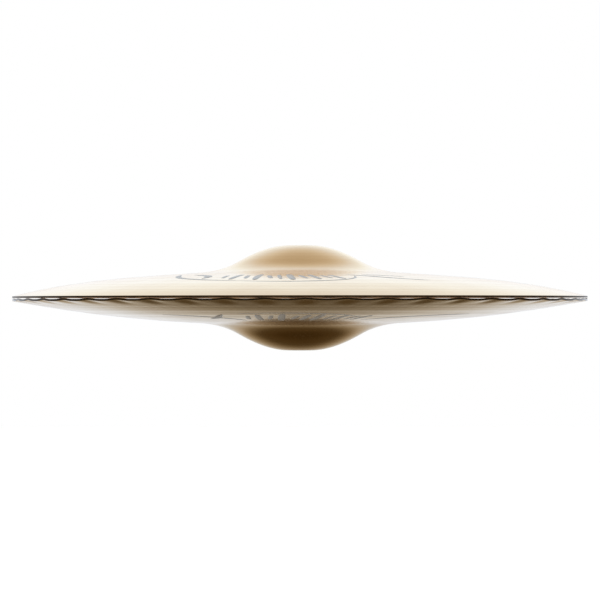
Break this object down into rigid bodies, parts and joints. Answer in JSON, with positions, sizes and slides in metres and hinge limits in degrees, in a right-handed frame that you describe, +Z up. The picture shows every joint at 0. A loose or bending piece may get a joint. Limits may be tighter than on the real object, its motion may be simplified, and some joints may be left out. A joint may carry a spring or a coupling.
{
  "type": "hi-hat cymbal pair",
  "caption": "Closed pair of bronze hi-hat cymbals: a thin top cymbal that lifts along its axis over a thicker bottom cymbal with a rippled rim.",
  "frame": {"origin": "centre of the bottom cymbal's crown, on the rod's axis, in the plane of its flat outer face, where a stand's seat carries the pair", "axes": "+Z up along the common axis of both cymbals; -Y towards the front, where the ornament is printed; +X to the right seen from the front"},
  "size_m": [0.3556, 0.3556, 0.0651],
  "materials": {
    "bottom_bronze": "polished",
    "top_bronze": "polished"
  },
  "bodies": {
    "bottom_hat": {"bottom_cymbal": "bottom_bronze"},
    "top_hat": {"top_cymbal": "top_bronze"}
  },
  "joints": [
    {"name": "hat_lift", "type": "slide", "parent": "bottom_hat", "child": "top_hat", "axis": [0, 0, 1], "range_m": [0, 0.05]}
  ]
}
